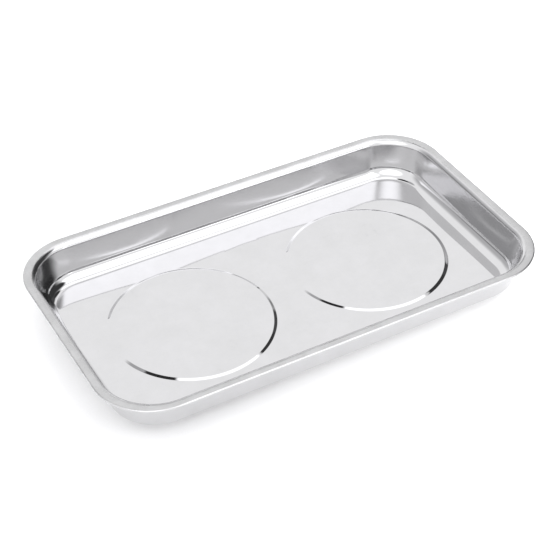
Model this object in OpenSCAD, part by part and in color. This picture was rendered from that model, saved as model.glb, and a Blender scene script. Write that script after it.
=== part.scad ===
// Magnetic parts tray: a drawn stainless steel pan on two round rubber-covered magnet bases.
// X runs along the tray, Y across it, Z up. The origin is on the resting plane, under the centre.

/* [Rim] */
// Length over the rim
tray_length = 241; // [226:0.5:400]
// Width over the rim
tray_width = 140.3; // [134:0.1:260]
// Corner radius of the rim, seen from above
rim_corner_r = 30; // [27:0.5:40]
// Width of the flat part of the rim
flange_w = 1.8; // [1.5:0.1:9]
// Outer radius of the folded edge
edge_r = 0.75; // [0.7:0.05:1.5]
// Width of the hem that is folded back under the rim
hem_w = 2; // [1:0.1:2.1]

/* [Pan] */
// Thickness of the sheet steel
sheet_t = 0.6; // [0.4:0.05:0.65]
// Depth from the top of the rim to the underside of the floor
pan_depth = 21.6; // [16:0.1:40]
// Radius of the bend from the rim into the wall, on its upper side
bend_r = 3.7; // [1.2:0.1:5]
// Corner radius of the wall just below the rim, on its inner side
wall_corner_r = 25.5; // [20:0.5:32]
// Lean of the wall from upright, in degrees
wall_draft = 10; // [0:0.5:15]
// Radius between the wall and the floor, on the inner side
foot_r = 7.2; // [2:0.1:9]

/* [Seats for the bases] */
// Distance between the centres of the two magnet bases
base_spacing = 102.2; // [88:0.2:118]
// Height of the raised seat in the floor
seat_rise = 0.6; // [0.3:0.05:1.2]
// Width of the bevel around the seat
seat_bevel = 2.4; // [1.2:0.1:4]
// Gap around the rubber boot inside its seat
seat_clear = 1.4; // [0.5:0.1:3]

/* [Magnet] */
// Outer diameter of the ring magnet
magnet_d = 71; // [50:0.5:76]
// Bore of the ring magnet
magnet_bore = 21.5; // [20:0.5:24]
// Thickness of the ring magnet
magnet_t = 5.5; // [5.2:0.1:10]

/* [Backing plate] */
// Thickness of the steel backing plate
plate_t = 1.2; // [0.8:0.1:1.5]
// Gap between the backing plate's dished middle and the bore of the magnet
dish_clear = 0.8; // [0.3:0.1:1.5]
// Gap between the dished middle and the underside of the pan
dish_gap = 0.5; // [0.3:0.05:0.8]
// Radius of the dish's pressed corner, on the outside
dish_r = 1.6; // [1.3:0.1:2]

/* [Rubber boot] */
// Thickness of the rubber around the magnet
boot_wall = 3.6; // [2:0.1:6]
// Thickness of the rubber under the backing plate
boot_floor = 1.9; // [1.4:0.1:4]
// Gap between the magnet and the rubber
boot_clear = 0.15; // [0.05:0.05:0.5]
// Radius around the bottom edge of the boot
boot_edge_r = 1.4; // [0.5:0.1:1.8]
// Opening in the middle of the boot that leaves the nut free
boot_bore = 18; // [17:0.5:23]
// Number of tread grooves in the resting face
groove_count = 4; // [1:1:5]
// Width of a tread groove
groove_w = 1.6; // [0.8:0.1:2.5]
// Depth of a tread groove
groove_depth = 0.6; // [0.3:0.1:0.9]

/* [Fasteners] */
// Diameter of the weld stud's shank
stud_d = 5; // [4:0.5:6]
// Diameter of the weld stud's welded foot
stud_foot_d = 6.5; // [6.5:0.1:8]
// Thickness of the weld stud's foot
stud_foot_t = 0.35; // [0.2:0.05:0.5]
// How far the stud shows below the nut
stud_end = 0.6; // [0.2:0.1:0.9]
// Gap between the stud and what fits over it
stud_clear = 0.15; // [0.05:0.05:0.4]
// Outer diameter of the flat washer
washer_d = 10; // [9:0.5:12]
// Thickness of the flat washer
washer_t = 0.8; // [0.5:0.1:1.2]
// Outer diameter of the spring washer
spring_d = 8.8; // [8:0.1:10]
// Thickness of the spring washer
spring_t = 1; // [0.6:0.1:1.4]
// Split of the spring washer, in degrees
spring_split = 14; // [6:1:30]
// Width of the nut across its flats
nut_af = 8; // [7:0.5:10]
// Height of the thin nut
nut_h = 2.2; // [1.8:0.1:2.7]

/* [Hidden] */
$fn = 96;

// Heights, from the resting plane up
plate_z = boot_floor;
magnet_z = plate_z + plate_t;
seat_under_z = magnet_z + magnet_t;
rim_z = seat_under_z - seat_rise + pan_depth;

// The dished middle of the backing plate, and the stack under it
dish_top_z = seat_under_z - dish_gap;
dish_under_z = dish_top_z - plate_t;
washer_z = dish_under_z - washer_t;
spring_z = washer_z - spring_t;
nut_z = spring_z - nut_h;
dish_d = magnet_bore - 2 * dish_clear;
dish_inner_r = dish_r - plate_t;

// The boot, and the seat that takes it
boot_bore_top = magnet_d + 2 * boot_clear;
boot_d = boot_bore_top + 2 * boot_wall;
seat_under_d = boot_d + 2 * seat_clear;
seat_foot_r = seat_under_d / 2 + seat_bevel;
seat_margin = 1.5;
bevel_steps = 6;

// The pan's section: u is the distance out from the corner's axis, z is below the rim's top
wall_inset = edge_r + flange_w + bend_r;
inner_l = tray_length - 2 * wall_inset;
inner_w = tray_width - 2 * wall_inset;
floor_z = sheet_t - pan_depth;
bend_centre = [wall_corner_r + bend_r, -bend_r];
wall_normal = [-cos(wall_draft), sin(wall_draft)];
wall_top = bend_centre + bend_r * wall_normal;
wall_run = (wall_top[1] + foot_r * wall_normal[1] - floor_z - foot_r) / cos(wall_draft);
foot_centre = wall_top - wall_run * [sin(wall_draft), cos(wall_draft)] + foot_r * wall_normal;
edge_centre = [rim_corner_r - edge_r, -edge_r];
arc_step = 12;

// Height of the bevel at a share of its width, as a smooth step
function bevel_rise(share) = seat_rise * (1 - cos(180 * share)) / 2;

// Points of an arc from one angle to another, in steps of about arc_step degrees
function arc(centre, r, from, to) =
    let (steps = ceil(abs(to - from) / arc_step))
    [
        for (i = [0 : steps])
            let (a = from + (to - from) * i / steps)
            centre + r * [cos(a), sin(a)]
    ];

// Points of the seat's bevel, outside in, for one face of the sheet
function bevel(top_r, base_z) = [
    for (i = [0 : bevel_steps])
        let (share = i / bevel_steps)
        [top_r + seat_bevel * (1 - share), base_z + bevel_rise(share)]
];

function reversed(points) = [for (i = [len(points) - 1 : -1 : 0]) points[i]];

// Flat rectangle with true round corners
module rounded_rect(l, w, r) {
    square([l - 2 * r, w], center = true);
    square([l, w - 2 * r], center = true);
    for (x = [-1, 1], y = [-1, 1])
        translate([x * (l / 2 - r), y * (w / 2 - r)])
            circle(r = r);
}

// Carries a section around a rounded rectangle; the section's u axis starts on the corner axis
module around(l, w, r) {
    for (turn = [0, 180])
        rotate([0, 0, turn]) {
            translate([l / 2 - r, w / 2 - r, 0])
                rotate([90, 0, 0])
                    linear_extrude(w - 2 * r)
                        children();
            translate([l / 2 - r, w / 2 - r, 0])
                rotate_extrude(angle = 90)
                    children();
            translate([r - l / 2, w / 2 - r, 0])
                rotate([90, 0, 90])
                    linear_extrude(l - 2 * r)
                        children();
            translate([r - l / 2, w / 2 - r, 0])
                rotate([0, 0, 90])
                    rotate_extrude(angle = 90)
                        children();
        }
}

// Section of the bend, the wall, its foot and the floor out to the corner axis
module wall_section() {
    polygon(concat(
        arc(bend_centre, bend_r, 90, 180 - wall_draft),
        arc(foot_centre, foot_r, -wall_draft, -90),
        [[0, floor_z], [0, floor_z - sheet_t]],
        arc(foot_centre, foot_r + sheet_t, -90, -wall_draft),
        arc(bend_centre, bend_r - sheet_t, 180 - wall_draft, 90)
    ));
}

// Section of the folded edge with its hem
module edge_section() {
    hem_u = rim_corner_r - edge_r - hem_w;
    polygon(concat(
        arc(edge_centre, edge_r, 90, -90),
        [[hem_u, -2 * edge_r], [hem_u, sheet_t - 2 * edge_r]],
        arc(edge_centre, edge_r - sheet_t, -90, 90)
    ));
}

// The flat of the rim, between the folded edge and the bend
module rim_flat() {
    translate([0, 0, -sheet_t])
        linear_extrude(sheet_t)
            difference() {
                rounded_rect(tray_length - 2 * edge_r, tray_width - 2 * edge_r, rim_corner_r - edge_r);
                rounded_rect(inner_l + 2 * bend_r, inner_w + 2 * bend_r, wall_corner_r + bend_r);
            }
}

// The middle of the floor, between the corner axes
module floor_sheet() {
    translate([0, 0, floor_z - sheet_t])
        linear_extrude(sheet_t)
            square([inner_l - 2 * wall_corner_r, inner_w - 2 * wall_corner_r], center = true);
}

// One raised seat: a flat disc, its bevel and a rim of floor around it
module seat() {
    top_z = floor_z + seat_rise;
    outer_r = seat_foot_r + seat_margin;
    rotate_extrude()
        polygon(concat(
            [[0, top_z - sheet_t], [0, top_z]],
            reversed(bevel(seat_under_d / 2, floor_z)),
            [[outer_r, floor_z], [outer_r, floor_z - sheet_t]],
            bevel(seat_under_d / 2, floor_z - sheet_t)
        ));
}

module at_seats() {
    for (side = [-1, 1])
        translate([side * base_spacing / 2, 0, 0])
            children();
}

module tray_pan() {
    color("lightgray")
        translate([0, 0, rim_z]) {
            around(tray_length, tray_width, rim_corner_r)
                edge_section();
            rim_flat();
            difference() {
                union() {
                    around(inner_l, inner_w, wall_corner_r)
                        wall_section();
                    floor_sheet();
                }
                at_seats()
                    translate([0, 0, floor_z - 2 * sheet_t])
                        cylinder(h = 3 * sheet_t, r = seat_foot_r + seat_margin / 2);
            }
            at_seats()
                seat();
        }
}

// Threaded stud, welded by its foot to the underside of the pan
module weld_stud() {
    chamfer = stud_d / 8;
    shank_z = nut_z - stud_end;
    color("silver")
        rotate_extrude()
            polygon([
                [0, shank_z],
                [stud_d / 2 - chamfer, shank_z],
                [stud_d / 2, shank_z + chamfer],
                [stud_d / 2, seat_under_z - stud_foot_t],
                [stud_foot_d / 2, seat_under_z - stud_foot_t],
                [stud_foot_d / 2, seat_under_z],
                [0, seat_under_z]
            ]);
}

module ring_magnet() {
    chamfer = 0.5;
    color("dimgray")
        translate([0, 0, magnet_z])
            rotate_extrude()
                polygon([
                    [magnet_bore / 2, 0],
                    [magnet_d / 2 - chamfer, 0],
                    [magnet_d / 2, chamfer],
                    [magnet_d / 2, magnet_t - chamfer],
                    [magnet_d / 2 - chamfer, magnet_t],
                    [magnet_bore / 2, magnet_t]
                ]);
}

// Pressed steel disc under the magnet; its middle is dished up into the magnet's bore
module backing_plate() {
    hole_r = stud_d / 2 + stud_clear;
    dish_centre = [dish_d / 2 - dish_r, dish_top_z - dish_r];
    color("silver")
        rotate_extrude()
            polygon(concat(
                [
                    [dish_d / 2 - plate_t, plate_z],
                    [magnet_d / 2, plate_z],
                    [magnet_d / 2, magnet_z],
                    [dish_d / 2, magnet_z]
                ],
                arc(dish_centre, dish_r, 0, 90),
                [[hole_r, dish_top_z], [hole_r, dish_under_z]],
                arc(dish_centre, dish_inner_r, 90, 0)
            ));
}

// Ring-shaped cut for one tread groove
module groove(r) {
    rotate_extrude()
        translate([r - groove_w / 2, -groove_depth])
            square([groove_w, 2 * groove_depth]);
}

// Moulded cover around the magnet and its plate; it stands on its underside
module rubber_boot() {
    tread_from = boot_bore / 2;
    tread_to = boot_d / 2 - boot_edge_r;
    pitch = (tread_to - tread_from) / (groove_count + 1);
    edge_centre = [boot_d / 2 - boot_edge_r, boot_edge_r];
    color("dimgray")
        difference() {
            rotate_extrude()
                polygon(concat(
                    [[boot_bore / 2, plate_z], [boot_bore / 2, 0]],
                    arc(edge_centre, boot_edge_r, -90, 0),
                    [
                        [boot_d / 2, seat_under_z],
                        [boot_bore_top / 2, seat_under_z],
                        [boot_bore_top / 2, plate_z]
                    ]
                ));
            for (i = [1 : groove_count])
                groove(tread_from + i * pitch);
        }
}

// Washer from the bottom face up, with its hole over the stud
module ring(d, t, angle) {
    rotate_extrude(angle = angle)
        translate([stud_d / 2 + stud_clear, 0])
            square([d / 2 - stud_d / 2 - stud_clear, t]);
}

module flat_washer() {
    color("silver")
        translate([0, 0, washer_z])
            ring(washer_d, washer_t, 360);
}

module spring_washer() {
    color("gray")
        translate([0, 0, spring_z])
            ring(spring_d, spring_t, 360 - spring_split);
}

module hex_nut() {
    color("silver")
        translate([0, 0, nut_z])
            difference() {
                cylinder(h = nut_h, d = nut_af / cos(30), $fn = 6);
                translate([0, 0, -1])
                    cylinder(h = nut_h + 2, r = stud_d / 2 + stud_clear);
            }
}

module left() {
    translate([-base_spacing / 2, 0, 0])
        children();
}

module right() {
    translate([base_spacing / 2, 0, 0])
        children();
}

tray_pan();
left() weld_stud();  // left_weld_stud
left() ring_magnet();  // left_ring_magnet
left() backing_plate();  // left_backing_plate
left() rubber_boot();  // left_rubber_boot
left() flat_washer();  // left_flat_washer
left() spring_washer();  // left_spring_washer
left() hex_nut();  // left_hex_nut
right() weld_stud();  // right_weld_stud
right() ring_magnet();  // right_ring_magnet
right() backing_plate();  // right_backing_plate
right() rubber_boot();  // right_rubber_boot
right() flat_washer();  // right_flat_washer
right() spring_washer();  // right_spring_washer
right() hex_nut();  // right_hex_nut
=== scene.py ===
import math

import bmesh
import bpy
from mathutils import Matrix, Vector


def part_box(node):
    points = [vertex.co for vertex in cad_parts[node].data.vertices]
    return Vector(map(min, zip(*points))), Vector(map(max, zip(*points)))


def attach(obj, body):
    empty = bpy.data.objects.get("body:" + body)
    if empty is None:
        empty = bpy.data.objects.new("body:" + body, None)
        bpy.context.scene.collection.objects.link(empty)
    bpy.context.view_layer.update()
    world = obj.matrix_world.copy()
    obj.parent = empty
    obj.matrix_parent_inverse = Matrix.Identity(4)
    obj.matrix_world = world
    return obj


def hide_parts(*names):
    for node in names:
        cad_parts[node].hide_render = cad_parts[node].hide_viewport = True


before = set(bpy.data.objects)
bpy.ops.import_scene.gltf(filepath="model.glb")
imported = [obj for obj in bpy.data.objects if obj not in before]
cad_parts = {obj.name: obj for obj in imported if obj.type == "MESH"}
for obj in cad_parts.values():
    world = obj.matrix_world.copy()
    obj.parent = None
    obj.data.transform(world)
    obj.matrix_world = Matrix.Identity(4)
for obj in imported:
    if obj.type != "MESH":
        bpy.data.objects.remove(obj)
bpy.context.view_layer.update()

# A polished stainless parts tray on two rubber-covered magnet bases. All lengths are in metres.
MM = 0.001

# ---------------------------------------------------------------- sizes that the pan's box doesn't give
SHEET = 0.6 * MM
RIM_CORNER_R = 30 * MM
FLANGE_W = 1.8 * MM
EDGE_R = 0.75 * MM
HEM_W = 2 * MM
BEND_R = 3.7 * MM
WALL_CORNER_R = 25.5 * MM
WALL_DRAFT = math.radians(10)
FOOT_R = 7.2 * MM
SEAT_RISE = 0.6 * MM
SEAT_BEVEL = 2.4 * MM
SEAT_CLEAR = 1.4 * MM

# The magnet base
BOOT_WALL = 3.6 * MM
BOOT_EDGE_R = 1.4 * MM
BOOT_BORE = 18 * MM
GROOVE_COUNT = 4
GROOVE_W = 1.6 * MM
GROOVE_DEPTH = 0.6 * MM
PLATE_T = 1.2 * MM
DISH_D = 19.9 * MM
DISH_R = 1.6 * MM
STUD_D = 5 * MM
STUD_FOOT_D = 6.5 * MM
STUD_FOOT_T = 0.35 * MM
STUD_CLEAR = 0.15 * MM
THREAD_PITCH = 0.8 * MM
THREAD_DEPTH = 0.42 * MM
SPRING_SPLIT = math.radians(14)
NUT_AF = 8 * MM
NUT_CHAMFER = 0.35 * MM


# ---------------------------------------------------------------- mesh helpers
CRISP_DEG = 35
WELD_GAP = 1e-7


def arc(centre, r, start, stop, steps):
    """Points of an arc between two angles in degrees."""
    out = []
    for i in range(steps + 1):
        a = math.radians(start + (stop - start) * i / steps)
        out.append((centre[0] + r * math.cos(a), centre[1] + r * math.sin(a)))
    return out


def finish_mesh(bm, name):
    """Turns bm into a smooth-shaded object whose edges over CRISP_DEG stay crisp."""
    bmesh.ops.remove_doubles(bm, verts=bm.verts, dist=WELD_GAP)
    bmesh.ops.recalc_face_normals(bm, faces=bm.faces)
    limit = math.radians(CRISP_DEG)
    for face in bm.faces:
        face.smooth = True
    for edge in bm.edges:
        if len(edge.link_faces) == 2 and edge.calc_face_angle(0) > limit:
            edge.smooth = False
    mesh = bpy.data.meshes.new(name)
    bm.to_mesh(mesh)
    bm.free()
    piece = bpy.data.objects.new(name, mesh)
    bpy.context.scene.collection.objects.link(piece)
    return piece


def bridge(bm, ring_a, ring_b):
    """Quads between two closed rows of the same number of vertices."""
    count = len(ring_a)
    for i in range(count):
        j = (i + 1) % count
        corners = [ring_a[i], ring_a[j], ring_b[j], ring_b[i]]
        unique = list(dict.fromkeys(corners))
        if len(unique) > 2:
            bm.faces.new(unique)


def lathe(name, profile, centre, steps, closed=True, radius_at=None):
    """A profile of (radius, z) points turned about a vertical axis through centre.

    A closed profile makes a ring, and an open one is capped at both ends.
    radius_at(r, z, angle) gives a point's own radius where the piece isn't round."""
    bm = bmesh.new()
    rings = []
    for r, z in profile:
        ring = []
        for i in range(steps):
            a = 2 * math.pi * i / steps
            rr = radius_at(r, z, a) if radius_at else r
            ring.append(bm.verts.new((centre.x + rr * math.cos(a), centre.y + rr * math.sin(a), z)))
        rings.append(ring)
    for k in range(len(rings) if closed else len(rings) - 1):
        bridge(bm, rings[k], rings[(k + 1) % len(rings)])
    if not closed:
        bm.faces.new(rings[0])
        bm.faces.new(rings[-1])
    return finish_mesh(bm, name)


# ---------------------------------------------------------------- the pan
CORNER_STEPS = 48
LONG_STEPS = 72
SHORT_STEPS = 34
CENTRE_STEPS = 36
FOOT_STEPS = 22
BEND_STEPS = 14
FOLD_STEPS = 14
BEVEL_STEPS = 16
BEVEL_BLEND = 0.25
SEAT_RINGS = (0.75, 0.5, 0.25)


def outline(half_l, half_w, r):
    """One ring of points round a rounded rectangle, anticlockwise from the middle of the near side."""
    centres = [(half_l - r, r - half_w, -90), (half_l - r, half_w - r, 0),
               (r - half_l, half_w - r, 90), (r - half_l, r - half_w, 180)]
    ring = []
    for k, (cx, cy, start) in enumerate(centres):
        corner = arc((cx, cy), r, start, start + 90, CORNER_STEPS)
        ring += corner
        nx, ny, turn = centres[(k + 1) % 4]
        first = arc((nx, ny), r, turn, turn, 1)[0]
        steps = SHORT_STEPS if k % 2 == 0 else LONG_STEPS
        for i in range(1, steps):
            t = i / steps
            ring.append((corner[-1][0] * (1 - t) + first[0] * t, corner[-1][1] * (1 - t) + first[1] * t))
    half = LONG_STEPS // 2
    return ring[-half:] + ring[:-half]


def pan_section(depth):
    """The sheet's section as (inset, z, corner radius) from the floor's upper face, round the rim and back.

    inset is the distance in from the rim's outer edge, and z is below the rim's top."""
    wall_inset = EDGE_R + FLANGE_W + BEND_R
    floor_z = SHEET - depth
    bend = (-BEND_R, -BEND_R)
    normal = (math.cos(WALL_DRAFT), math.sin(WALL_DRAFT))
    top = (bend[0] + BEND_R * normal[0], bend[1] + BEND_R * normal[1])
    run = (top[1] + FOOT_R * normal[1] - floor_z - FOOT_R) / normal[0]
    foot = (top[0] + run * normal[1] + FOOT_R * normal[0],
            top[1] - run * normal[0] + FOOT_R * normal[1])
    draft = math.degrees(WALL_DRAFT)

    def wall(points):
        return [(wall_inset + u, z, WALL_CORNER_R - u) for u, z in points]

    def rim(points):
        return [(EDGE_R + u, z, RIM_CORNER_R - EDGE_R - u) for u, z in points]

    upper_foot = arc(foot, FOOT_R, -90, draft - 180, FOOT_STEPS)
    upper_bend = arc(bend, BEND_R, draft, 90, BEND_STEPS)
    lower_bend = arc(bend, BEND_R - SHEET, 90, draft, 10)
    lower_foot = arc(foot, FOOT_R + SHEET, draft - 180, -90, FOOT_STEPS)
    fold = (0, -EDGE_R)
    outer_fold = [(-x, z) for x, z in arc(fold, EDGE_R, 90, -90, FOLD_STEPS)]
    inner_fold = [(-x, z) for x, z in arc(fold, EDGE_R - SHEET, -90, 90, 8)]
    hem_end = [(HEM_W, -2 * EDGE_R), (HEM_W, SHEET - 2 * EDGE_R)]
    return (wall(upper_foot) + wall(upper_bend) + rim(outer_fold) + rim(hem_end)
            + rim(inner_fold) + wall(lower_bend) + wall(lower_foot))


def soft_ramp(t, blend):
    """Rises from 0 to 1 in a straight slope with a rounded start and end, each blend long."""
    slope = 1 / (1 - blend)
    if t < blend:
        return slope * t * t / (2 * blend)
    if t > 1 - blend:
        return 1 - soft_ramp(1 - t, blend)
    return slope * (t - blend / 2)


def floor_half(bm, boundary, seat_x, seat_r, z):
    """One half of one face of the floor: flat out to its boundary, with the raised round seat in it."""
    centre = Vector((seat_x, 0))
    angles = [math.atan2(v.co.y - centre.y, v.co.x - centre.x) for v in boundary]
    previous = boundary
    for k in range(BEVEL_STEPS + 1):
        share = k / BEVEL_STEPS
        r = seat_r + SEAT_BEVEL * (1 - share)
        rise = SEAT_RISE * soft_ramp(share, BEVEL_BLEND)
        ring = [bm.verts.new((centre.x + r * math.cos(a), r * math.sin(a), z + rise)) for a in angles]
        bridge(bm, previous, ring)
        previous = ring
    for share in SEAT_RINGS:
        r = seat_r * share
        ring = [bm.verts.new((centre.x + r * math.cos(a), r * math.sin(a), z + SEAT_RISE)) for a in angles]
        bridge(bm, previous, ring)
        previous = ring
    middle = bm.verts.new((centre.x, 0, z + SEAT_RISE))
    for i, v in enumerate(previous):
        bm.faces.new((v, previous[(i + 1) % len(previous)], middle))


def make_pan(name, seat_xs, seat_r):
    """The pressing: rings round both faces of the rim, wall and foot, and the floor's two faces inside."""
    low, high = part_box("tray_pan")
    section = pan_section(high.z - low.z)
    bm = bmesh.new()
    rings = []
    for inset, z, r in section:
        ring = outline(high.x - inset, high.y - inset, r)
        rings.append([bm.verts.new((x, y, high.z + z)) for x, y in ring])
    for a, b in zip(rings, rings[1:]):
        bridge(bm, a, b)
    half = len(rings[0]) // 2
    for ring in (rings[0], rings[-1]):
        z = ring[0].co.z
        near, far = ring[0], ring[half]
        middle = [bm.verts.new((0, far.co.y + (near.co.y - far.co.y) * i / CENTRE_STEPS, z))
                  for i in range(1, CENTRE_STEPS)]
        right = ring[:half + 1] + middle
        left = ring[half:] + [near] + middle[::-1]
        floor_half(bm, right, seat_xs[1], seat_r, z)
        floor_half(bm, left, seat_xs[0], seat_r, z)
    return finish_mesh(bm, name)


# ---------------------------------------------------------------- the magnet bases
BOOT_LIP_R = 0.3 * MM
GROOVE_LIP_R = 0.24 * MM
PLATE_LIP_R = 0.25 * MM
PLATE_FLARE_R = 0.72 * MM
WASHER_LIP_R = 0.12 * MM
THREAD_FLANK = 1.3
THREAD_CREST = 0.15
NUT_FACE = 0.98
NUT_CHAMFER_RUN = 1.7
NUT_CHAMFER_START = 0.3
SPRING_SLANT = 0.35


def rounded_groove(r, depth, width, lip):
    """Profile points of one groove in the boot's underside, from its outer side in."""
    out = arc((r + width / 2 + lip, lip), lip, -90, -180, 4)
    out += arc((r + width / 2 - lip, depth - lip), lip, 0, 90, 4)
    out += arc((r - width / 2 + lip, depth - lip), lip, 90, 180, 4)
    out += arc((r - width / 2 - lip, lip), lip, 0, -90, 4)
    return out


def make_boot(side, centre):
    """Rubber cover: a rounded cup around the magnet and plate, with ring grooves in its tread."""
    low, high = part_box(side + "_rubber_boot")
    plate_low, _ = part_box(side + "_backing_plate")
    outer = (high.x - low.x) / 2
    inner = outer - BOOT_WALL
    top, shelf = high.z, plate_low.z
    tread_from, tread_to = BOOT_BORE / 2, outer - BOOT_EDGE_R
    pitch = (tread_to - tread_from) / (GROOVE_COUNT + 1)
    soft = BOOT_LIP_R
    profile = arc((outer - BOOT_EDGE_R, BOOT_EDGE_R), BOOT_EDGE_R, 0, -90, 8)
    for i in range(GROOVE_COUNT, 0, -1):
        profile += rounded_groove(tread_from + i * pitch, GROOVE_DEPTH, GROOVE_W, GROOVE_LIP_R)
    profile += arc((BOOT_BORE / 2 + soft, soft), soft, -90, -180, 4)
    profile += [(BOOT_BORE / 2, shelf), (inner, shelf), (inner, top)]
    profile += arc((outer - soft, top - soft), soft, 90, 0, 4)
    return lathe(side + "_boot", profile, centre, steps=160)


def make_plate(side, centre):
    """Pressed disc with its middle dished up into the magnet's bore."""
    low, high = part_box(side + "_backing_plate")
    outer, bore = (high.x - low.x) / 2, STUD_D / 2 + STUD_CLEAR
    under, ring_top, top = low.z, low.z + PLATE_T, high.z
    dish = (DISH_D / 2 - DISH_R, top - DISH_R)
    soft, lip = PLATE_LIP_R, PLATE_FLARE_R
    profile = arc((outer - soft, under + soft), soft, -90, 0, 3)
    profile += arc((outer - soft, ring_top - soft), soft, 0, 90, 3)
    profile += arc((DISH_D / 2 + soft, ring_top + soft), soft, -90, -180, 3)
    profile += arc(dish, DISH_R, 0, 90, 10) + [(bore, top), (bore, top - PLATE_T)]
    profile += arc(dish, DISH_R - PLATE_T, 90, 0, 6)
    profile += arc((DISH_D / 2 - PLATE_T + lip, under + lip), lip, -180, -90, 6)
    return lathe(side + "_plate", profile, centre, steps=96)


def thread(phase, z, depth):
    """How far a thread's flank lies in from its crest."""
    turn = (z / THREAD_PITCH - phase / (2 * math.pi)) % 1
    return depth * min(1, max(0, THREAD_FLANK * abs(2 * turn - 1) - THREAD_CREST))


def make_stud(side, centre):
    """Weld stud: a threaded shank under a thin, wider foot."""
    low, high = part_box(side + "_weld_stud")
    chamfer = STUD_D / 8
    foot_z = high.z - STUD_FOOT_T
    rows = 72
    end = low.z + chamfer / 5
    profile = [(STUD_D / 2 - chamfer, low.z)]
    profile += [(STUD_D / 2, end + (foot_z - end) * i / rows) for i in range(rows + 1)]
    profile += [(STUD_FOOT_D / 2, foot_z), (STUD_FOOT_D / 2, high.z)]

    def radius(r, z, a):
        if r != STUD_D / 2:
            return r
        taper = max(0, chamfer - (z - low.z))
        return min(r - thread(a, z, THREAD_DEPTH), r - taper)

    return lathe(side + "_stud", profile, centre, steps=48, closed=False, radius_at=radius)


def make_nut(side, centre):
    """Thin hex nut, chamfered at its corners and its bore."""
    low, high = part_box(side + "_hex_nut")
    outer, bore = NUT_AF / 2 / math.cos(math.pi / 6), STUD_D / 2 + STUD_CLEAR
    height = high.z - low.z
    rows = 14
    heights = [low.z + height * i / rows for i in range(rows + 1)]
    profile = [(outer, z) for z in heights]
    profile += [(bore, z) for z in reversed(heights)]

    def radius(r, z, a):
        edge = min(z - low.z, high.z - z)
        if r == bore:
            return bore + max(0, NUT_CHAMFER - edge)
        turn = (a + math.pi / 6) % (math.pi / 3) - math.pi / 6
        flat = NUT_AF / 2 / math.cos(math.pi / 6 - abs(turn))
        face = NUT_AF / 2 * NUT_FACE + NUT_CHAMFER * NUT_CHAMFER_START
        return min(flat, face + edge * NUT_CHAMFER_RUN)

    return lathe(side + "_nut", profile, centre, steps=144, radius_at=radius)


def make_washer(side, centre):
    """Flat washer with softened edges."""
    low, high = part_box(side + "_flat_washer")
    outer, bore, soft = (high.x - low.x) / 2, STUD_D / 2 + STUD_CLEAR, WASHER_LIP_R
    profile = arc((outer - soft, low.z + soft), soft, -90, 0, 3)
    profile += arc((outer - soft, high.z - soft), soft, 0, 90, 3)
    profile += [(bore, high.z), (bore, low.z)]
    return lathe(side + "_washer", profile, centre, steps=64)


def make_spring(side, centre):
    """Spring washer: a flat ring with a slanted split."""
    low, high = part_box(side + "_spring_washer")
    outer, bore, soft = (high.y - low.y) / 2, STUD_D / 2 + STUD_CLEAR, WASHER_LIP_R
    steps = 72
    section = arc((outer - soft, low.z + soft), soft, -90, 0, 3)
    section += arc((outer - soft, high.z - soft), soft, 0, 90, 3)
    section += [(bore, high.z), (bore, low.z)]
    bm = bmesh.new()
    rows = []
    for i in range(steps + 1):
        row = []
        for r, z in section:
            lean = SPRING_SLANT * ((z - low.z) / (high.z - low.z) - 0.5) * SPRING_SPLIT
            a = (2 * math.pi - SPRING_SPLIT) * i / steps + lean
            row.append(bm.verts.new((centre.x + r * math.cos(a), centre.y + r * math.sin(a), z)))
        rows.append(row)
    for a, b in zip(rows, rows[1:]):
        bridge(bm, a, b)
    bm.faces.new(rows[0])
    bm.faces.new(rows[-1])
    return finish_mesh(bm, side + "_spring")


# ---------------------------------------------------------------- materials
class Shader:
    """A material's node tree, with short calls for the nodes used here."""

    def __init__(self, name):
        self.material = bpy.data.materials.new(name)
        self.material.use_nodes = True
        self.tree = self.material.node_tree
        self.bsdf = self.tree.nodes["Principled BSDF"]
        coords = self.tree.nodes.new("ShaderNodeTexCoord")
        self.place = coords.outputs["Object"]

    def link(self, out, socket):
        self.tree.links.new(out, socket)

    def stretched(self, scale):
        node = self.tree.nodes.new("ShaderNodeMapping")
        node.inputs["Scale"].default_value = scale
        self.link(self.place, node.inputs["Vector"])
        return node.outputs["Vector"]

    def along(self, axis):
        node = self.tree.nodes.new("ShaderNodeSeparateXYZ")
        self.link(self.place, node.inputs["Vector"])
        return node.outputs[axis]

    def noise(self, scale, detail=4, roughness=0.55, where=None):
        node = self.tree.nodes.new("ShaderNodeTexNoise")
        node.inputs["Scale"].default_value = scale
        node.inputs["Detail"].default_value = detail
        node.inputs["Roughness"].default_value = roughness
        self.link(where or self.place, node.inputs["Vector"])
        return node.outputs["Fac"]

    def remap(self, value, low, high, to_low, to_high):
        node = self.tree.nodes.new("ShaderNodeMapRange")
        for key, number in (("From Min", low), ("From Max", high), ("To Min", to_low), ("To Max", to_high)):
            node.inputs[key].default_value = number
        self.link(value, node.inputs["Value"])
        return node.outputs["Result"]

    def math(self, kind, a, b):
        node = self.tree.nodes.new("ShaderNodeMath")
        node.operation = kind
        for socket, value in zip(node.inputs, (a, b)):
            if isinstance(value, (int, float)):
                socket.default_value = value
            else:
                self.link(value, socket)
        return node.outputs["Value"]

    def ramp(self, value, stops):
        node = self.tree.nodes.new("ShaderNodeValToRGB")
        while len(node.color_ramp.elements) < len(stops):
            node.color_ramp.elements.new(0.5)
        for element, (at, colour) in zip(node.color_ramp.elements, stops):
            element.position = at
            element.color = (*colour, 1)
        self.link(value, node.inputs["Fac"])
        return node.outputs["Color"]

    def bump(self, height, distance, under=None):
        node = self.tree.nodes.new("ShaderNodeBump")
        node.inputs["Distance"].default_value = distance
        self.link(height, node.inputs["Height"])
        if under:
            self.link(under, node.inputs["Normal"])
        return node.outputs["Normal"]


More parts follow.
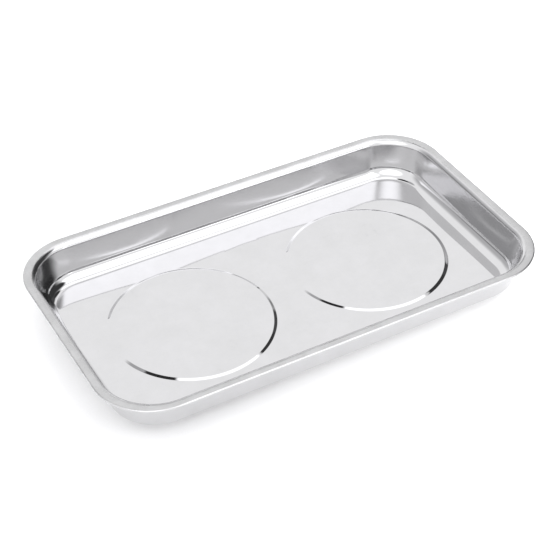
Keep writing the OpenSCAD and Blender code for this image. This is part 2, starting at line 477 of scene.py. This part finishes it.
def stainless():
    """Bright drawn sheet: a mirror floor, softer wavy walls with level streaks, and a satin rim, with
    painted shade darkening the rim's base colour.
    """
    s = Shader("stainless_sheet")
    s.bsdf.inputs["Metallic"].default_value = 1.0
    low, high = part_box("tray_pan")
    height = s.along("Z")
    on_rim = s.remap(height, high.z - 0.7 * MM, high.z - 0.1 * MM, 0, 1)
    above_floor = s.remap(height, low.z + 2 * MM, low.z + 7 * MM, 0, 1)
    waves = s.math("MULTIPLY", s.noise(18, detail=1, roughness=0.4), above_floor)
    drawn = s.noise(1, detail=1, roughness=0.4, where=s.stretched((9, 9, 200)))
    grain = s.noise(260, detail=3, where=s.stretched((0.12, 3.2, 1.0)))
    scuffs = s.noise(70, detail=6, roughness=0.7)
    # Painted shade: the rim's base colour is pulled darker than the rest of the same steel; the scuffs are
    # random tone.
    scuffs_and_painted_rim_shade = s.math("SUBTRACT", scuffs, s.math("MULTIPLY", on_rim, 0.35))
    stops = [(0.1, (0.47, 0.47, 0.472)), (0.35, (0.555, 0.554, 0.558)), (0.75, (0.59, 0.588, 0.595))]
    s.link(s.ramp(scuffs_and_painted_rim_shade, stops), s.bsdf.inputs["Base Color"])
    polish = s.remap(scuffs, 0.35, 0.75, 0.025, 0.045)
    satin = s.math("MULTIPLY", on_rim, s.remap(grain, 0.3, 0.7, 0.1, 0.2))
    on_wall = s.remap(height, low.z + 5 * MM, low.z + 10 * MM, 0, 1)
    stretch = s.math("MULTIPLY", on_wall, s.remap(scuffs, 0.35, 0.75, 0.1, 0.16))
    s.link(s.math("ADD", s.math("ADD", polish, stretch), satin), s.bsdf.inputs["Roughness"])
    soft = s.bump(waves, 0.08 * MM)
    streaks = s.bump(drawn, 0.006 * MM, under=soft)
    s.link(s.bump(grain, 0.0012 * MM, under=streaks), s.bsdf.inputs["Normal"])
    return s.material


def zinc():
    """Bright zinc plating with a faint bluish mottle."""
    s = Shader("zinc_plating")
    s.bsdf.inputs["Metallic"].default_value = 1.0
    mottle = s.noise(420, detail=5)
    stops = [(0.3, (0.5, 0.53, 0.57)), (0.7, (0.68, 0.69, 0.69))]
    s.link(s.ramp(mottle, stops), s.bsdf.inputs["Base Color"])
    s.link(s.remap(mottle, 0.3, 0.7, 0.24, 0.36), s.bsdf.inputs["Roughness"])
    s.link(s.bump(s.noise(1500, detail=3), 0.01 * MM), s.bsdf.inputs["Normal"])
    return s.material


def spring_steel():
    """Dark oiled steel."""
    s = Shader("spring_steel")
    s.bsdf.inputs["Metallic"].default_value = 1.0
    mottle = s.noise(600, detail=5)
    stops = [(0.3, (0.16, 0.16, 0.17)), (0.7, (0.26, 0.255, 0.25))]
    s.link(s.ramp(mottle, stops), s.bsdf.inputs["Base Color"])
    s.link(s.remap(mottle, 0.3, 0.7, 0.3, 0.45), s.bsdf.inputs["Roughness"])
    s.link(s.bump(mottle, 0.01 * MM), s.bsdf.inputs["Normal"])
    return s.material


def ferrite():
    """Dull sintered ceramic."""
    s = Shader("ferrite")
    grain = s.noise(900, detail=6, roughness=0.7)
    stops = [(0.3, (0.035, 0.035, 0.038)), (0.75, (0.075, 0.073, 0.07))]
    s.link(s.ramp(grain, stops), s.bsdf.inputs["Base Color"])
    s.link(s.remap(grain, 0.3, 0.7, 0.6, 0.8), s.bsdf.inputs["Roughness"])
    s.link(s.bump(grain, 0.03 * MM), s.bsdf.inputs["Normal"])
    return s.material


def boot_rubber():
    """Matt moulded rubber with a fine spark-eroded texture and a little dust in faint random patches."""
    s = Shader("boot_rubber")
    pebble = s.noise(1400, detail=3)
    cloud = s.noise(60, detail=5, roughness=0.65)
    stops = [(0.35, (0.012, 0.012, 0.013)), (0.75, (0.03, 0.0295, 0.029))]
    s.link(s.ramp(cloud, stops), s.bsdf.inputs["Base Color"])
    s.link(s.remap(cloud, 0.3, 0.7, 0.62, 0.78), s.bsdf.inputs["Roughness"])
    s.bsdf.inputs["Specular IOR Level"].default_value = 0.35
    s.link(s.bump(pebble, 0.05 * MM), s.bsdf.inputs["Normal"])
    return s.material


def coat(piece, material):
    piece.data.materials.clear()
    piece.data.materials.append(material)
    return piece


# ---------------------------------------------------------------- assembly
MAKERS = {
    "rubber_boot": (make_boot, "boot_rubber"),
    "backing_plate": (make_plate, "zinc_steel"),
    "weld_stud": (make_stud, "zinc_steel"),
    "flat_washer": (make_washer, "zinc_steel"),
    "spring_washer": (make_spring, "spring_steel"),
    "hex_nut": (make_nut, "zinc_steel"),
}
finishes = {
    "stainless_sheet": stainless(),
    "zinc_steel": zinc(),
    "spring_steel": spring_steel(),
    "ferrite": ferrite(),
    "boot_rubber": boot_rubber(),
}


def base_centre(side):
    low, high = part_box(side + "_rubber_boot")
    return Vector(((low.x + high.x) / 2, (low.y + high.y) / 2))


centres = {side: base_centre(side) for side in ("left", "right")}
boot_low, boot_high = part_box("left_rubber_boot")
seat_r = (boot_high.x - boot_low.x) / 2 + SEAT_CLEAR

pan = make_pan("pan", (centres["left"].x, centres["right"].x), seat_r)
coat(pan, finishes["stainless_sheet"])
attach(pan, "root")
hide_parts("tray_pan")

for side, centre in centres.items():
    for part, (make, slot) in MAKERS.items():
        piece = coat(make(side, centre), finishes[slot])
        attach(piece, "root")
        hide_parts(side + "_" + part)
    coat(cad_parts[side + "_ring_magnet"], finishes["ferrite"])


# ---------------------------------------------------------------- studio
# Azimuth, elevation and roll in degrees; lens and sensor in millimetres
CAMERA_ANGLES = (-28.8, 39.63, -0.63)
CAMERA_DISTANCE = 0.7387
CAMERA_TARGET = (-9.19 * MM, -14.36 * MM)
CAMERA_LENS = 96.47
CAMERA_SENSOR = 36
CAMERA_CLIP = (0.01, 50)
SOFTBOX_PLACE = (0.25, 0.1, 1.1)
SOFTBOX_SIZE = 0.9
SOFTBOX_WATTS = 1.5
FLOOR_HALF = 6.0
FLOOR_GAP = 0.05 * MM
# The floor glows more towards the right: from and to X, from and to strength
FLOOR_GLOW = (-0.14, 0.12, 0.06, 0.34)
BACKDROP = 1.1
SKY = (1.35, 1.35, 1.36)
# Soft zones of the room: azimuth from +Y towards +X, elevation, inner and outer half-angle, brightness.
# Angles are in degrees, and a later zone covers an earlier one.
ZONES = [
    # Dim left side, which the right-hand wall mirrors
    (315, 10, 15, 40, 0.7),
    # Softbox high in front, which the far wall's foot and the far rim's bend mirror
    (140, 50, 15, 25, 2.8),
    (160, 35, 5, 10, 3.2),
    (158, 5, 4, 9, 3.0),
    # Second softbox, front left, which the far right corner mirrors
    (220, 45, 10, 30, 3.0),
    # Dark right side, which the back left corner mirrors
    (85, 15, 20, 45, 0.06),
    (105, 40, 10, 20, 0.06),
    # Narrow bands, which the bend along the left rim mirrors
    (22, 20, 5, 10, 0.2),
    (46, 8, 4, 10, 0.8),
    (54, 18, 5, 8, 0.2),
    (61, 31, 8, 11, 0.1),
    # Dark and bright spots, which the seats' bevels mirror
    (340, 61, 5, 10, 0.6),
    (343, 70, 6, 8, 0.04),
    (40, 80, 9, 11, 2),
    (68, 70, 8, 11, 2),
    (73, 62, 7, 8.5, 2),
    (68, 45, 7, 8.5, 0.06),
    # Dark spot low on the left, which the left rim's folded edge mirrors
    (313, 3, 6, 15, 0.3),
]


def studio_world():
    """Even bright room with a few softer and darker zones; the camera itself sees a plain white."""
    world = bpy.data.worlds.new("studio")
    bpy.context.scene.world = world
    world.use_nodes = True
    nodes, links = world.node_tree.nodes, world.node_tree.links
    nodes.clear()
    coords = nodes.new("ShaderNodeTexCoord")
    colour = nodes.new("ShaderNodeRGB").outputs[0]
    colour.default_value = (*SKY, 1)
    for azimuth, elevation, inner, outer, brightness in ZONES:
        a, e = math.radians(azimuth), math.radians(elevation)
        dot = nodes.new("ShaderNodeVectorMath")
        dot.operation = "DOT_PRODUCT"
        dot.inputs[1].default_value = (math.sin(a) * math.cos(e), math.cos(a) * math.cos(e), math.sin(e))
        links.new(coords.outputs["Generated"], dot.inputs[0])
        soft = nodes.new("ShaderNodeMapRange")
        soft.interpolation_type = "SMOOTHSTEP"
        soft.inputs["From Min"].default_value = math.cos(math.radians(outer))
        soft.inputs["From Max"].default_value = math.cos(math.radians(inner))
        links.new(dot.outputs["Value"], soft.inputs["Value"])
        mix = nodes.new("ShaderNodeMix")
        mix.data_type = "RGBA"
        mix.inputs["B"].default_value = (brightness, brightness, brightness * 1.02, 1)
        links.new(soft.outputs["Result"], mix.inputs["Factor"])
        links.new(colour, mix.inputs["A"])
        colour = mix.outputs["Result"]
    room = nodes.new("ShaderNodeBackground")
    links.new(colour, room.inputs["Color"])
    plain = nodes.new("ShaderNodeBackground")
    plain.inputs["Color"].default_value = (1, 1, 1, 1)
    plain.inputs["Strength"].default_value = BACKDROP
    path = nodes.new("ShaderNodeLightPath")
    choose = nodes.new("ShaderNodeMixShader")
    links.new(path.outputs["Is Camera Ray"], choose.inputs["Fac"])
    links.new(room.outputs[0], choose.inputs[1])
    links.new(plain.outputs[0], choose.inputs[2])
    out = nodes.new("ShaderNodeOutputWorld")
    links.new(choose.outputs[0], out.inputs["Surface"])


def studio_floor():
    """A pale floor just under the boots, so that no faces coincide."""
    mesh = bpy.data.meshes.new("studio_floor")
    h, z = FLOOR_HALF, -FLOOR_GAP
    mesh.from_pydata([(-h, -h, z), (h, -h, z), (h, h, z), (-h, h, z)], [], [(0, 1, 2, 3)])
    floor = bpy.data.objects.new("studio_floor", mesh)
    bpy.context.scene.collection.objects.link(floor)
    s = Shader("pale_floor")
    s.bsdf.inputs["Roughness"].default_value = 0.9
    s.bsdf.inputs["Specular IOR Level"].default_value = 0.1
    paper = s.noise(900, detail=2)
    stops = [(0.3, (0.86, 0.86, 0.86)), (0.7, (0.88, 0.88, 0.88))]
    s.link(s.ramp(paper, stops), s.bsdf.inputs["Base Color"])
    s.bsdf.inputs["Emission Color"].default_value = (1, 1, 1, 1)
    s.link(s.remap(s.along("X"), *FLOOR_GLOW), s.bsdf.inputs["Emission Strength"])
    coat(floor, s.material)


def soft_light(name, place, aim, size, watts):
    """A square softbox that lights the scene but isn't mirrored in the steel."""
    data = bpy.data.lights.new(name, "AREA")
    data.shape = "SQUARE"
    data.size = size
    data.energy = watts
    lamp = bpy.data.objects.new(name, data)
    lamp.visible_glossy = False
    bpy.context.scene.collection.objects.link(lamp)
    lamp.location = place
    lamp.rotation_mode = "QUATERNION"
    lamp.rotation_quaternion = (Vector(aim) - Vector(place)).to_track_quat("-Z", "Y")


def aim_camera():
    """A three-quarter view from the near left, aimed at a point in the rim's plane."""
    azimuth, elevation, roll = (math.radians(angle) for angle in CAMERA_ANGLES)
    _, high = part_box("tray_pan")
    target = Vector((*CAMERA_TARGET, high.z))
    back = Vector((math.sin(azimuth) * math.cos(elevation), -math.cos(azimuth) * math.cos(elevation),
                   math.sin(elevation)))
    right = (-back).cross(Vector((0, 0, 1))).normalized()
    up = right.cross(-back)
    turned_right = right * math.cos(roll) + up * math.sin(roll)
    turned_up = up * math.cos(roll) - right * math.sin(roll)
    data = bpy.data.cameras.new("camera")
    data.lens = CAMERA_LENS
    data.sensor_width = CAMERA_SENSOR
    data.clip_start, data.clip_end = CAMERA_CLIP
    camera = bpy.data.objects.new("camera", data)
    bpy.context.scene.collection.objects.link(camera)
    axes = Matrix((turned_right, turned_up, back)).transposed()
    camera.matrix_world = Matrix.Translation(target + back * CAMERA_DISTANCE) @ axes.to_4x4()
    bpy.context.scene.camera = camera


bpy.context.scene.view_settings.view_transform = "Standard"
studio_world()
studio_floor()
soft_light("overhead_softbox", SOFTBOX_PLACE, (0, 0, 0), SOFTBOX_SIZE, SOFTBOX_WATTS)
aim_camera()
